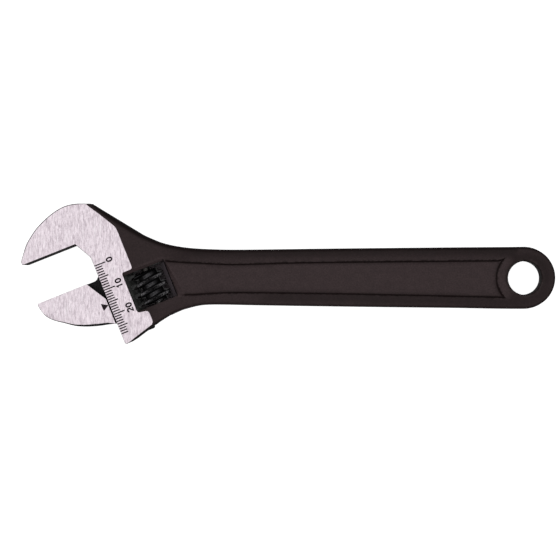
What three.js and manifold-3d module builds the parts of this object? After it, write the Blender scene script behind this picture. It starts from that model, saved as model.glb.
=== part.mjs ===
// Adjustable wrench, 8 inch class: forged body with fixed jaw and handle, sliding jaw with its rack, knurled worm,
// worm pin and worm spring. Millimetres. X runs along the handle, Y across it, Z through the thickness.
// Origin: bottom centre of the whole wrench lying flat, jaw opened about 16 mm.
import * as THREE from 'three';
import { mergeVertices } from 'three/addons/utils/BufferGeometryUtils.js';
import Module from 'manifold-3d';

const wasm = await Module();
wasm.setup();

// ---------- driving dimensions ----------
const HEAD_HALF = 6.5;          // half thickness over the ground faces of the head
const FORGED_HALF = 6.2;        // half thickness of the unground head next to them
const RIM_HALF = 3.9;           // half thickness of the handle rims
const JAW_HALF = 6.45;          // half thickness of the sliding jaw
const HEAD_TILT = 21.7;         // degrees between the handle and the normal of the jaw faces
const WORM_AT = [-53.2, -4.9];  // centre of the worm, in the plane of the wrench
const FIXED_FACE = -25.75;      // fixed jaw face, along the slide from the worm centre
const OPENING = 15.9;           // jaw opening as modelled
const OPENING_MAX = 28;         // the scale ends here
const STRIP_LEFT = -17.35;      // throat side of the graduated wall
const WINDOW = { left: -8.4, right: 8.3, waist: 6.15, top: -7.55, bottom: 7.2 };

const SHANK_U = -9.4;           // axis of the sliding jaw's round shank
const SHANK_R = 4.8;
const BORE_R = 5.1;             // channel that the shank slides in
const SHANK_TOP = -12.4;
const SHANK_END = 15.4;
const WEB_HALF = 2.75;          // half thickness of the neck between jaw and shank
const SLOT_HALF = 3.05;         // half width of the slot that the neck runs in

const LEAD = 3.7;               // worm thread, single start, right hand
const WORM_OD_R = 5.8;
const WORM_ROOT_R = 4.0;
const WORM_LEN = 12.7;
const CREST_W = 1.35;           // width of the thread at the crest
const CREST_AT = 0.2;           // place of a crest on the handle side
const THREAD_SLOPE = 0.24;      // growth of half the thread width per mm towards the root
const RACK_CLEAR = 0.27;        // side clearance of the thread in the rack
const RACK_FLOOR_U = -7.4;

const PIN_R = 1.75;
const PIN_BORE_R = 2.05;
const PIN_HEAD_R = 2.6;
const PIN_TOP = -12.2;
const PIN_HEAD_V = 10.7;
const PIN_END = 12.9;
const SPRING = { mean: 2.45, wire: 0.3, from: 3.75, to: 6.75, turns: 4.25 };

const PANEL_DEPTH = 1.2;
const HOLE = { x: 91.0, y: -1.7, r: 6.5 };
const END_R = 12.05;

// ---------- head frame: u across the slide, v along it (positive opens the jaw) ----------
const tilt = THREE.MathUtils.degToRad(HEAD_TILT);
const EU = [Math.cos(tilt), Math.sin(tilt)];
const EV = [Math.sin(tilt), -Math.cos(tilt)];
const H = (u, v) => [WORM_AT[0] + u * EU[0] + v * EV[0], WORM_AT[1] + u * EU[1] + v * EV[1]];
const headToPart = new THREE.Matrix4().set(
  EU[0], EV[0], 0, WORM_AT[0],
  EU[1], EV[1], 0, WORM_AT[1],
  0, 0, -1, 0,
  0, 0, 0, 1);
// (u, v, w) -> part, with w = -z so that the frame stays right handed

// ---------- helpers ----------
function toSolid(geometry) {
  const g = geometry.clone();
  g.deleteAttribute('normal');
  g.deleteAttribute('uv');
  const m = mergeVertices(g, 1e-4);
  const index = m.index ? Uint32Array.from(m.index.array) : Uint32Array.from({ length: m.attributes.position.count }, (_, i) => i);
  return new wasm.Manifold(new wasm.Mesh({ numProp: 3, vertProperties: Float32Array.from(m.attributes.position.array), triVerts: index }));
}

function toGeometry(solid) {
  const mesh = solid.getMesh();
  const positions = new Float32Array(mesh.numVert * 3);
  for (let i = 0; i < mesh.numVert; i++) {
    for (let k = 0; k < 3; k++) positions[3 * i + k] = mesh.vertProperties[i * mesh.numProp + k];
  }
  const g = new THREE.BufferGeometry();
  g.setAttribute('position', new THREE.BufferAttribute(positions, 3));
  g.setIndex(new THREE.BufferAttribute(Uint32Array.from(mesh.triVerts), 1));
  g.computeVertexNormals();
  return g;
}

const outline = (points) => new THREE.Shape(points.map(([x, y]) => new THREE.Vector2(x, y)));

function smooth(points, n) {
  return new THREE.SplineCurve(points.map(([x, y]) => new THREE.Vector2(x, y))).getPoints(n).map((p) => [p.x, p.y]);
}

function prism(points, z0, z1) {
  const g = new THREE.ExtrudeGeometry(outline(points), { depth: z1 - z0, bevelEnabled: false });
  g.translate(0, 0, z0);
  return toSolid(g);
}

function rounded(points, half, bevel, segments) {
  const g = new THREE.ExtrudeGeometry(outline(points), {
    depth: 2 * (half - bevel), bevelEnabled: true, bevelThickness: bevel, bevelSize: bevel, bevelOffset: -bevel, bevelSegments: segments,
  });
  g.translate(0, 0, -(half - bevel));
  return toSolid(g);
}

// a side profile in (x, z), carried across the wrench along Y
function sideProfile(points, y0, y1) {
  const g = new THREE.ExtrudeGeometry(outline(points), { depth: y1 - y0, bevelEnabled: false });
  g.applyMatrix4(new THREE.Matrix4().set(1, 0, 0, 0, 0, 0, -1, y1, 0, 1, 0, 0, 0, 0, 0, 1));
  return toSolid(g);
}

// closed lathe profile [radius, along v], about the axis at u, in part coordinates
function turned(profile, segments, u = 0) {
  const g = new THREE.LatheGeometry(profile.map(([r, v]) => new THREE.Vector2(r, v)), segments);
  g.translate(u, 0, 0);
  g.applyMatrix4(headToPart);
  return toSolid(g);
}
const rod = (r, v0, v1, segments, u = 0) => turned([[0, v0], [r, v0], [r, v1], [0, v1]], segments, u);

// ---------- outline of the forging ----------
const jawBack = smooth([
  [-102.9, 3.8], [-103.08, 4.6], [-102.62, 6.5], [-101.27, 10.97], [-99.35, 14.42], [-97.51, 17.11], [-95.4, 19.49],
  [-92.71, 22.0], [-90.02, 24.05], [-87.71, 25.4], [-85.79, 26.2], [-83.49, 26.75], [-81.18, 27.02]], 28);
const upperFlank = smooth([
  [-76.2, 27.02], [-71.46, 24.1], [-67.57, 21.75], [-63.13, 19.05], [-58.7, 16.37], [-56.0, 14.8], [-51.8, 12.94], [-48.98, 11.9],
  [-45.49, 11.02], [-42.0, 10.4], [-38.23, 9.94], [-32.3, 9.55], [-22.98, 9.3], [-10.18, 9.37]], 34);
const lowerFlank = smooth([
  [2.26, -12.55], [-15.65, -12.25], [-24.99, -12.05], [-31.5, -12.1], [-35.51, -12.56], [-40.18, -13.77], [-42.36, -14.55], [-46.41, -16.5],
  [-51.9, -20.0]], 20);
const handleTop = [[6.12, 9.6], [32.9, 9.9], [65.49, 10.2], [88.5, 10.38]];
const handleBottom = [[88.5, -13.62], [61.44, -13.3], [32.63, -12.98]];
const handleEnd = [];
for (let i = 1; i < 24; i++) {
  const a = Math.PI / 2 - (i / 24) * Math.PI;
  handleEnd.push([HOLE.x + END_R * Math.cos(a), HOLE.y + 0.08 + END_R * Math.sin(a)]);
}
const fixedFace = [H(-21.1, FIXED_FACE), H(-42.2, FIXED_FACE), H(-42.8, FIXED_FACE - 0.12)];
const throat = [H(STRIP_LEFT, -18.3), H(-17.75, -19.6), H(-20.4, -24.5)];
const strip = [H(-15.3, 16.72), H(-16.8, 17.15), H(STRIP_LEFT, 16.4)];

// ---------- the forged body ----------
// ground faces of the head: fixed jaw, back of the throat and the graduated wall
const ground2d = [...strip, ...throat, ...fixedFace, ...jawBack, [-78.2, 27.0],
  H(-8.22, -33.11), H(-5.23, -27.95), H(-4.35, -26.4), H(-4.13, -24.2), H(-4.1, -9.9), H(-4.5, -9.1), H(-7.44, -8.37), H(-8.4, -7.9),
  H(-8.4, 7.4), H(-7.7, 7.8), H(-5.1, 8.1), H(-4.5, 8.6), H(-4.3, 9.4), H(-4.3, 12.6), H(-4.9, 13.7)];
const ground = rounded(ground2d, HEAD_HALF, 0.4, 1);

// unground part of the head, sloping down into the handle
const forged2d = [H(-13.0, 16.8), H(-11, 8), H(-11, -20), [-80, 24.2], [-79.0, 27.0], ...upperFlank.filter(([x]) => x < -14), [-12, 9.3], [-12, -12.2],
  ...lowerFlank.filter(([x]) => x < -14)];
const RAMP = [[-50, FORGED_HALF], [-44, 5.9], [-38, 5.3], [-31, 4.55], [-25, 4.1], [-18, RIM_HALF - 0.05]];
const rampOutline = [[-110, FORGED_HALF], ...RAMP, [-10, 0], [-18, -(RIM_HALF - 0.05)], ...RAMP.slice(0, -1).reverse().map(([x, z]) => [x, -z]), [-110, -FORGED_HALF]];
const forged = rounded(forged2d, FORGED_HALF, 1.9, 3).intersect(sideProfile(rampOutline, -40, 40));

// handle
const handle2d = [[-62, 18.3], ...upperFlank.filter(([x]) => x > -58), ...handleTop, ...handleEnd, ...handleBottom, ...lowerFlank.filter(([x]) => x > -50), [-56, -18], [-62, -10]];
const handle = rounded(handle2d, RIM_HALF, 1.5, 3);

let body = ground.add(forged).add(handle);

// sunk panels on both sides of the handle, from the worm window to the boss around the hanging hole
const panelArc = [];
for (let i = 0; i <= 12; i++) {
  const a = THREE.MathUtils.degToRad(132 + (i / 12) * 96);
  panelArc.push([HOLE.x + 10.6 * Math.cos(a), HOLE.y + 10.6 * Math.sin(a)]);
}
const panel2d = [H(7.6, -5.2), H(7.6, 4.7), [-40.4, -8.55], [-36, -8.45], [-28, -7.95], [-20.2, -7.75], [4.1, -8.0], [81.9, -9.55],
  ...panelArc.slice().reverse(), [81.9, 5.4], [4.1, 4.55], [-22.2, 3.9], [-35.6, 4.45], [-41.0, 4.7]];
const floorAt = (d) => [[-60, FORGED_HALF - d], ...RAMP.map(([x, z]) => [x, z - d]), [110, RIM_HALF - d]];
const sink = (sign) => {
  const f = floorAt(PANEL_DEPTH).map(([x, z]) => [x, sign * z]);
  return sideProfile([...f, [110, sign * 12], [-60, sign * 12]], -40, 40);
};
const panelColumn = prism(panel2d, -12, 12);
body = body.subtract(panelColumn.intersect(sink(1))).subtract(panelColumn.intersect(sink(-1)));

// worm window: open through the head, its handle-side wall flared from the worm out to both faces
const windowSection = outline([[WINDOW.left, -9], [WINDOW.right + 0.3, -9], [WINDOW.right, -5.6], [WINDOW.waist, -1], [WINDOW.waist, 1], [WINDOW.right, 5.6], [WINDOW.right + 0.3, 9], [WINDOW.left, 9]]);
const windowCut = new THREE.ExtrudeGeometry(windowSection, { depth: WINDOW.bottom - WINDOW.top, bevelEnabled: false });
// section (u, z) carried along v
windowCut.applyMatrix4(new THREE.Matrix4().set(1, 0, 0, 0, 0, 0, 1, WINDOW.top, 0, -1, 0, 0, 0, 0, 0, 1));
windowCut.applyMatrix4(headToPart);
const window = toSolid(windowCut);

// shank channel, neck slot, pin bore, hanging hole
body = body
  .subtract(window)
  .subtract(rod(BORE_R, -28.7, 30, 48, SHANK_U))
  .subtract(prism([H(-19.9, -28.4), H(-12, -28.4), H(-12, 30), H(-30, 30), H(-30, -25.9), H(-21.4, -25.9)], -SLOT_HALF, SLOT_HALF))
  .subtract(rod(PIN_BORE_R, -12.6, 20, 32))
  .subtract(rod(PIN_HEAD_R + 0.3, PIN_HEAD_V - 0.3, 24, 32))
  .subtract(toSolid(new THREE.CylinderGeometry(HOLE.r, HOLE.r, 20, 40).rotateX(Math.PI / 2).translate(HOLE.x, HOLE.y, 0)));

// ---------- sliding jaw ----------
const JAW_FACE = FIXED_FACE + OPENING;
const jawLower = smooth([
  [-43.1, -8.0], [-42.3, -4.9], [-40.9, -2.7], [-38.7, -0.65], [-36.1, 1.25], [-33.4, 3.25], [-30.6, 4.65], [-27.8, 5.75], [-24.4, 6.8], [-21.0, 7.6], [-17.8, 8.45]], 24);
const jaw2d = [[-22.6, JAW_FACE], [-42.7, JAW_FACE], [-43.2, JAW_FACE + 0.6], ...jawLower, [-17.8, -1.9]].map(([u, v]) => H(u, v));
const web2d = [[-26, JAW_FACE], [-19.6, JAW_FACE], [-18.6, JAW_FACE - 0.45], [-17.9, JAW_FACE - 1.3], [-17.3, JAW_FACE - 1.75], [-13.4, SHANK_TOP + 0.2],
  [-12.6, SHANK_TOP + 0.4], [-12.6, 9.3], [-18, 8.3], [-26, 5.8]].map(([u, v]) => H(u, v));
let jaw = rounded(jaw2d, JAW_HALF, 0.45, 1)
  .add(prism(web2d, -WEB_HALF, WEB_HALF))
  .add(turned([[0, SHANK_TOP], [SHANK_R - 0.6, SHANK_TOP], [SHANK_R, SHANK_TOP + 0.6], [SHANK_R, SHANK_END - 0.8], [SHANK_R - 0.8, SHANK_END], [0, SHANK_END]], 48, SHANK_U));

// rack: one slanted trapezoid gap per thread turn, matched to the worm on the jaw side
const halfThread = (r) => CREST_W / 2 + (WORM_OD_R - r) * THREAD_SLOPE;
const leadSlope = LEAD / (2 * Math.PI * 5.1);
const gapCentre = CREST_AT - LEAD / 2;
for (let k = -3; k <= 4; k++) {
  const v = gapCentre + k * LEAD;
  const wide = halfThread(4.4) + RACK_CLEAR;
  const narrow = halfThread(WORM_OD_R) + RACK_CLEAR;
  const tooth = [[-4.2, -wide - 0.05], [-4.2, wide + 0.05], [-6.2, narrow], [RACK_FLOOR_U, narrow - 0.25], [RACK_FLOOR_U, -narrow + 0.25], [-6.2, -narrow]];
  const g = new THREE.ExtrudeGeometry(outline(tooth), { depth: 14, bevelEnabled: false });
  g.translate(0, 0, -7);
  // w = -z, so the gap leans by +slope along w
  g.applyMatrix4(new THREE.Matrix4().set(1, 0, 0, 0, 0, 1, leadSlope, v, 0, 0, 1, 0, 0, 0, 0, 1));
  g.applyMatrix4(headToPart);
  jaw = jaw.subtract(toSolid(g));
}

// ---------- worm ----------
function helixBar(section, from, to, stepsPerTurn, lead, place) {
  // a closed section in (radius, along the axis), carried along a helix; place gives the axial position of the section at angle zero
  const turns = (to - from) / lead;
  const g = new THREE.ExtrudeGeometry(outline(section), { steps: Math.round(turns * stepsPerTurn), depth: 1, bevelEnabled: false });
  const p = g.attributes.position;
  for (let i = 0; i < p.count; i++) {
    // run backwards along the helix, which keeps the faces pointing out
    const a = (1 - p.getZ(i)) * turns * 2 * Math.PI + ((from - place) / lead) * 2 * Math.PI;
    const r = p.getX(i);
    // angle zero points along +u, and grows towards +z, which is -w
    p.setXYZ(i, r * Math.cos(a), place + (lead * a) / (2 * Math.PI) + p.getY(i), -r * Math.sin(a));
  }
  return g;
}
const wr = halfThread(3.7);
const wc = halfThread(WORM_OD_R);
const threadSection = [[3.7, -wr], [5.45, -wc - 0.12], [WORM_OD_R, -wc + 0.2], [WORM_OD_R, wc - 0.2], [5.45, wc + 0.12], [3.7, wr]];
const thread = toSolid(helixBar(threadSection, -LEAD * 2.5, LEAD * 2.5, 24, LEAD, CREST_AT).applyMatrix4(headToPart));
const HL = WORM_LEN / 2;
const core = turned([[0, -9], [WORM_ROOT_R, -9], [WORM_ROOT_R, 9], [0, 9]], 24);
const envelope = turned([[0, -HL], [4.3, -HL], [5.2, -HL + 0.45], [6.2, -HL + 1.4], [6.2, HL - 1.4], [5.2, HL - 0.45], [4.3, HL], [0, HL]], 48);
const worm = core.add(thread).intersect(envelope)
  .subtract(rod(PIN_R + 0.3, -9, 9, 32))
  .subtract(rod(SPRING.mean + SPRING.wire + 0.3, SPRING.from - 0.25, 9, 32));

// ---------- worm pin ----------
const pin = turned([[0, PIN_TOP], [PIN_R - 0.4, PIN_TOP], [PIN_R, PIN_TOP + 0.4], [PIN_R, PIN_HEAD_V], [PIN_HEAD_R, PIN_HEAD_V],
  [PIN_HEAD_R, PIN_END - 0.3], [PIN_HEAD_R - 0.3, PIN_END], [0, PIN_END]], 32)
  .subtract(toSolid(new THREE.BoxGeometry(8, 1.6, 0.9).translate(0, PIN_END, 0).applyMatrix4(headToPart)));

// ---------- worm spring ----------
const wireSection = Array.from({ length: 6 }, (_, i) => {
  const a = (i / 6) * 2 * Math.PI;
  return [SPRING.mean + SPRING.wire * Math.cos(a), SPRING.wire * Math.sin(a)];
});
const springPitch = (SPRING.to - SPRING.from - 2 * SPRING.wire) / SPRING.turns;
const spring = toSolid(helixBar(wireSection, SPRING.from + SPRING.wire, SPRING.to - SPRING.wire, 14, springPitch, SPRING.from + SPRING.wire).applyMatrix4(headToPart));

// ---------- assembly ----------
const wrench = new THREE.Group();
wrench.name = 'adjustable_wrench';
wrench.position.set(0, 0, HEAD_HALF);

function node(name, solid, material) {
  const mesh = new THREE.Mesh(toGeometry(solid), material);
  mesh.name = name;
  wrench.add(mesh);
}
node('body', body, new THREE.MeshStandardMaterial({ color: 0x3a3232, roughness: 0.5, metalness: 0.7 }));
node('movable_jaw', jaw, new THREE.MeshStandardMaterial({ color: 0xdcd2d6, roughness: 0.35, metalness: 1 }));
node('worm', worm, new THREE.MeshStandardMaterial({ color: 0x343234, roughness: 0.4, metalness: 0.8 }));
node('worm_pin', pin, new THREE.MeshStandardMaterial({ color: 0x55504e, roughness: 0.4, metalness: 0.9 }));
node('worm_spring', spring, new THREE.MeshStandardMaterial({ color: 0x8a8786, roughness: 0.3, metalness: 1 }));
wrench.updateMatrixWorld(true);

export default wrench;
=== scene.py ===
import math

import bpy
import numpy as np
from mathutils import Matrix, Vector
from mathutils.geometry import delaunay_2d_cdt


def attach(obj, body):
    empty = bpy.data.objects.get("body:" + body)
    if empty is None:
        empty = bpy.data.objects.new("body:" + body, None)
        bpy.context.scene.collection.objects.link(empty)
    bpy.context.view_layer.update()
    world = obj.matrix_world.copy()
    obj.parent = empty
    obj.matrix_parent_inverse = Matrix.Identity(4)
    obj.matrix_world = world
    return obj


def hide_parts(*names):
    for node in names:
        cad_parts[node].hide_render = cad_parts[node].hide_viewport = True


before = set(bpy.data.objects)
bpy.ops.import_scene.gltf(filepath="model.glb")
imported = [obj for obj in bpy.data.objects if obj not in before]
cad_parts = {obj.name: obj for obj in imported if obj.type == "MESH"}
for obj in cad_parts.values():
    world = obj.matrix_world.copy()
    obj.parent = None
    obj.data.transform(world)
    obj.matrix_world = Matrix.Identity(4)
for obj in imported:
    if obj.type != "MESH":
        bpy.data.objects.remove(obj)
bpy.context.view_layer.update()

# ---------------------------------------------------------------- dimensions, millimetres, about the mid-plane
HEAD_HALF, FORGED_HALF, RIM_HALF, JAW_HALF = 6.5, 6.2, 3.9, 6.45
TILT = math.radians(21.7)
WX, WY = -53.2, -4.9
FIXED_FACE, OPENING, STRIP_LEFT = -25.75, 15.9, -17.35
WINDOW = dict(left=-8.4, right=8.3, waist=6.15, top=-7.55, bottom=7.2)
SHANK_U, SHANK_R, BORE_R, SHANK_TOP, SHANK_END = -9.4, 4.8, 5.1, -12.4, 15.4
WEB_HALF, SLOT_HALF = 2.75, 3.05
LEAD, WORM_OD_R, WORM_ROOT_R, WORM_LEN = 3.7, 5.8, 4.0, 12.7
CREST_W, CREST_AT, THREAD_SLOPE, RACK_CLEAR, RACK_FLOOR_U = 1.35, 0.2, 0.24, 0.27, -7.4
PIN_R, PIN_BORE_R, PIN_HEAD_R, PIN_TOP, PIN_HEAD_V, PIN_END = 1.75, 2.05, 2.6, -12.2, 10.7, 12.9
SPRING = dict(mean=2.45, wire=0.3, start=3.75, end=6.75, turns=4.25)
HOLE = dict(x=91.0, y=-1.7, r=6.5)
END_R = 12.05
PANEL_DEPTH, PANEL_WALL = 1.0, 0.8
JAW_FACE = FIXED_FACE + OPENING
EU = (math.cos(TILT), math.sin(TILT))
EV = (math.sin(TILT), -math.cos(TILT))
LIFT = HEAD_HALF


def H(u, v):
    return (WX + u * EU[0] + v * EV[0], WY + u * EU[1] + v * EV[1])


def uv_of(p):
    d = np.asarray(p, float)[..., :2] - (WX, WY)
    return np.stack([d @ np.array(EU), d @ np.array(EV)], -1)


def spline(points, n):
    """Uniform Catmull-Rom through the points."""
    p = np.asarray(points, float)
    m = len(p) - 1
    out = []
    for t in np.linspace(0, m, n + 1):
        i = min(int(t), m - 1)
        w = t - i
        a, b, c, d = p[max(i - 1, 0)], p[i], p[min(i + 1, m)], p[min(i + 2, m)]
        v0, v1 = (c - a) / 2, (d - b) / 2
        out.append((2 * b - 2 * c + v0 + v1) * w**3 + (-3 * b + 3 * c - 2 * v0 - v1) * w**2 + v0 * w + b)
    return np.array(out)


def curve_x(points, step):
    """Smooth y(x) through points that run along x, with no overshoot."""
    p = np.asarray(points, float)
    back = p[0, 0] > p[-1, 0]
    q = p[::-1] if back else p
    x, y = q[:, 0], q[:, 1]
    h = np.diff(x)
    d = np.diff(y) / h
    m = np.concatenate([[d[0]], np.zeros(len(x) - 2), [d[-1]]])
    for i in range(1, len(x) - 1):
        if d[i - 1] * d[i] > 0:
            w1, w2 = 2 * h[i] + h[i - 1], h[i] + 2 * h[i - 1]
            m[i] = (w1 + w2) / (w1 / d[i - 1] + w2 / d[i])
    out = []
    for i in range(len(h)):
        n = max(1, int(math.ceil(h[i] / step)))
        for t in np.arange(n) / n:
            out.append((x[i] + h[i] * t, (2 * t**3 - 3 * t**2 + 1) * y[i] + (t**3 - 2 * t**2 + t) * h[i] * m[i]
                        + (-2 * t**3 + 3 * t**2) * y[i + 1] + (t**3 - t**2) * h[i] * m[i + 1]))
    out.append((x[-1], y[-1]))
    return np.array(out[::-1] if back else out)


def resample(points, step):
    """Even points along a polyline that keep its own corners."""
    p = np.asarray(points, float)
    out = [p[0]]
    for a, b in zip(p[:-1], p[1:]):
        n = max(1, int(math.ceil(np.linalg.norm(b - a) / step - 1e-6)))
        out += [a + (b - a) * k / n for k in range(1, n + 1)]
    return np.array(out)


def inside(poly, pts):
    poly, pts = np.asarray(poly, float), np.asarray(pts, float)
    x, y = pts[:, 0], pts[:, 1]
    c = np.zeros(len(pts), bool)
    for (xi, yi), (xj, yj) in zip(poly, np.roll(poly, 1, 0)):
        if yi != yj:
            c ^= ((yi > y) != (yj > y)) & (x < (xj - xi) * (y - yi) / (yj - yi) + xi)
    return c


def distance(pts, line):
    """Distance from points to a polyline."""
    pts, line = np.asarray(pts, float)[:, :2], np.asarray(line, float)
    best = np.full(len(pts), 1e9)
    for a, b in zip(line[:-1], line[1:]):
        d = b - a
        t = np.clip(((pts - a) @ d) / max(d @ d, 1e-12), 0, 1)
        best = np.minimum(best, np.linalg.norm(pts - a - t[:, None] * d, axis=1))
    return best


def smooth01(t):
    t = np.clip(t, 0, 1)
    return t * t * (3 - 2 * t)


def waves(p, seed, size):
    """Smooth, fixed unevenness of about unit height: a few crossing waves."""
    rng = np.random.RandomState(seed)
    total = np.zeros(len(p))
    for _ in range(9):
        a = rng.uniform(0, 2 * math.pi)
        k = 2 * math.pi / (size * rng.uniform(0.7, 1.7))
        total += np.sin(k * (p[:, 0] * math.cos(a) + p[:, 1] * math.sin(a)) + rng.uniform(0, 6.28))
    return total / 3.0


# ---------------------------------------------------------------- meshes
def new_mesh(name, verts, faces, mats=(), face_mats=None):
    """A mesh from millimetre points about the mid-plane, faces pointing out."""
    v = np.asarray(verts, float)
    vol = 0.0
    for f in faces:
        for k in range(1, len(f) - 1):
            vol += np.dot(v[f[0]], np.cross(v[f[k]], v[f[k + 1]]))
    if vol < 0:
        faces = [tuple(reversed(f)) for f in faces]
    me = bpy.data.meshes.new(name)
    me.from_pydata(((v + (0, 0, LIFT)) / 1000.0).tolist(), [], [tuple(int(i) for i in f) for f in faces])
    for m in mats:
        me.materials.append(m)
    if face_mats is not None:
        me.polygons.foreach_set("material_index", np.asarray(face_mats, np.int32))
    me.validate()
    me.update()
    return me


def new_object(name, me):
    o = bpy.data.objects.new(name, me)
    bpy.context.scene.collection.objects.link(o)
    return o


def loft(rings, close_ends=True):
    """Closed tube through rings of equal length. Returns points and faces."""
    n = len(rings[0])
    verts = [tuple(p) for r in rings for p in r]
    faces = []
    for i in range(len(rings) - 1):
        for j in range(n):
            k = (j + 1) % n
            faces.append((i * n + j, i * n + k, (i + 1) * n + k, (i + 1) * n + j))
    if close_ends:
        faces.append(tuple(reversed(range(n))))
        faces.append(tuple((len(rings) - 1) * n + j for j in range(n)))
    return verts, faces


def prism(poly, z0, z1):
    p = [tuple(q) for q in poly]
    area = sum(a[0] * b[1] - b[0] * a[1] for a, b in zip(p, p[1:] + p[:1]))
    if area < 0:
        p.reverse()
    return loft([[(x, y, z0) for x, y in p], [(x, y, z1) for x, y in p]])


def join_parts(parts):
    verts, faces = [], []
    for v, f in parts:
        n = len(verts)
        verts += list(v)
        faces += [tuple(i + n for i in q) for q in f]
    return verts, faces


def turned(profile, segments, u=0.0):
    """A solid of revolution about the slide direction: profile is (radius, v) from axis to axis."""
    verts, faces, rows = [], [], []
    for r, v in profile:
        if r < 1e-6:
            rows.append([len(verts)] * segments)
            x, y = H(u, v)
            verts.append((x, y, 0.0))
        else:
            row = []
            for j in range(segments):
                a = 2 * math.pi * j / segments
                x, y = H(u + r * math.cos(a), v)
                row.append(len(verts))
                verts.append((x, y, r * math.sin(a)))
            rows.append(row)
    for a, b in zip(rows[:-1], rows[1:]):
        for j in range(segments):
            k = (j + 1) % segments
            q = [a[j], a[k], b[k], b[j]]
            q = [x for i, x in enumerate(q) if x != q[i - 1]]
            if len(q) > 2:
                faces.append(tuple(q))
    return verts, faces


def cut(base, steps, name):
    """Booleans one after the other: steps are (operation, mesh). Returns the final mesh."""
    o = new_object(name + "_work", base)
    helpers = []
    for i, (operation, me) in enumerate(steps):
        c = new_object(f"{name}_cut{i}", me)
        helpers.append(c)
        m = o.modifiers.new(f"b{i}", "BOOLEAN")
        m.operation, m.solver, m.object = operation, "MANIFOLD", c
        m.material_mode = "TRANSFER"
    dg = bpy.context.evaluated_depsgraph_get()
    dg.update()
    made = bpy.data.meshes.new_from_object(o.evaluated_get(dg), preserve_all_data_layers=True, depsgraph=dg)
    made.name = name
    for c in [o, *helpers]:
        bpy.data.objects.remove(c)
    return made


def finish_mesh(me, angle):
    """Removes slivers, shades smooth and keeps edges sharper than angle crisp."""
    import bmesh
    bm = bmesh.new()
    bm.from_mesh(me)
    bmesh.ops.remove_doubles(bm, verts=bm.verts, dist=2e-7)
    bmesh.ops.dissolve_degenerate(bm, edges=bm.edges, dist=1e-7)
    open_edges = sum(1 for e in bm.edges if len(e.link_faces) != 2)
    bm.to_mesh(me)
    bm.free()
    me.polygons.foreach_set("use_smooth", np.ones(len(me.polygons), bool))
    me.set_sharp_from_angle(angle=math.radians(angle))
    me.update()
    print(me.name, "vertices", len(me.vertices), "faces", len(me.polygons), "edges not shared by two faces", open_edges)
    return me


def coords(me):
    co = np.zeros(len(me.vertices) * 3, np.float64)
    me.vertices.foreach_get("co", co)
    return co.reshape(-1, 3) * 1000.0 - (0, 0, LIFT)


def attribute(me, name, values):
    a = me.attributes.get(name) or me.attributes.new(name, "FLOAT", "POINT")
    a.data.foreach_set("value", np.asarray(values, np.float32))


# ---------------------------------------------------------------- materials
class Nodes:
    def __init__(self, name, metallic=0.0, specular=0.5):
        self.m = bpy.data.materials.new(name)
        self.m.use_nodes = True
        self.t = self.m.node_tree
        self.t.nodes.clear()
        self.out = self.t.nodes.new("ShaderNodeOutputMaterial")
        self.b = self.t.nodes.new("ShaderNodeBsdfPrincipled")
        self.t.links.new(self.b.outputs["BSDF"], self.out.inputs["Surface"])
        self.b.inputs["Metallic"].default_value = metallic
        self.b.inputs["Specular IOR Level"].default_value = specular
        self.co = self.t.nodes.new("ShaderNodeTexCoord").outputs["Object"]

    def link(self, a, b):
        self.t.links.new(a, b)

    def mapping(self, scale, rotation=(0, 0, 0), vector=None):
        n = self.t.nodes.new("ShaderNodeMapping")
        n.inputs["Scale"].default_value = scale
        n.inputs["Rotation"].default_value = rotation
        self.link(vector or self.co, n.inputs["Vector"])
        return n.outputs["Vector"]

    def noise(self, scale, detail=2.0, rough=0.5, vector=None, distortion=0.0):
        n = self.t.nodes.new("ShaderNodeTexNoise")
        n.inputs["Scale"].default_value = scale
        n.inputs["Detail"].default_value = detail
        n.inputs["Roughness"].default_value = rough
        n.inputs["Distortion"].default_value = distortion
        self.link(vector or self.co, n.inputs["Vector"])
        return n.outputs["Fac"]

    def span(self, value, lo, hi, to0=0.0, to1=1.0):
        n = self.t.nodes.new("ShaderNodeMapRange")
        n.inputs["From Min"].default_value = lo
        n.inputs["From Max"].default_value = hi
        n.inputs["To Min"].default_value = to0
        n.inputs["To Max"].default_value = to1
        self.link(value, n.inputs["Value"])
        return n.outputs["Result"]

    def math(self, op, a, b=None):
        n = self.t.nodes.new("ShaderNodeMath")
        n.operation = op
        for i, x in enumerate((a, b)):
            if x is None:
                continue
            if isinstance(x, (int, float)):
                n.inputs[i].default_value = x
            else:
                self.link(x, n.inputs[i])
        return n.outputs[0]

    def mix(self, fac, a, b):
        n = self.t.nodes.new("ShaderNodeMix")
        n.data_type = "RGBA"
        for sock, x in ((n.inputs["Factor"], fac), (n.inputs["A"], a), (n.inputs["B"], b)):
            if isinstance(x, (int, float)):
                sock.default_value = x
            elif isinstance(x, tuple):
                sock.default_value = (*x, 1.0)
            else:
                self.link(x, sock)
        return n.outputs["Result"]

    def shade(self, color, value):
        n = self.t.nodes.new("ShaderNodeMix")
        n.data_type = "RGBA"
        n.blend_type = "MULTIPLY"
        n.inputs["Factor"].default_value = 1.0
        self.link(color, n.inputs["A"])
        self.link(value, n.inputs["B"])
        return n.outputs["Result"]

    def attr(self, name):
        n = self.t.nodes.new("ShaderNodeAttribute")
        n.attribute_name = name
        return n.outputs["Fac"]

    def bump(self, height, strength, dist, normal=None):
        n = self.t.nodes.new("ShaderNodeBump")
        n.inputs["Strength"].default_value = strength
        n.inputs["Distance"].default_value = dist
        self.link(height, n.inputs["Height"])
        if normal is not None:
            self.link(normal, n.inputs["Normal"])
        return n.outputs["Normal"]

    def done(self, color, rough, normal=None):
        self.link(color, self.b.inputs["Base Color"])
        self.link(rough, self.b.inputs["Roughness"])
        if normal is not None:
            self.link(normal, self.b.inputs["Normal"])
        return self.m


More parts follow.
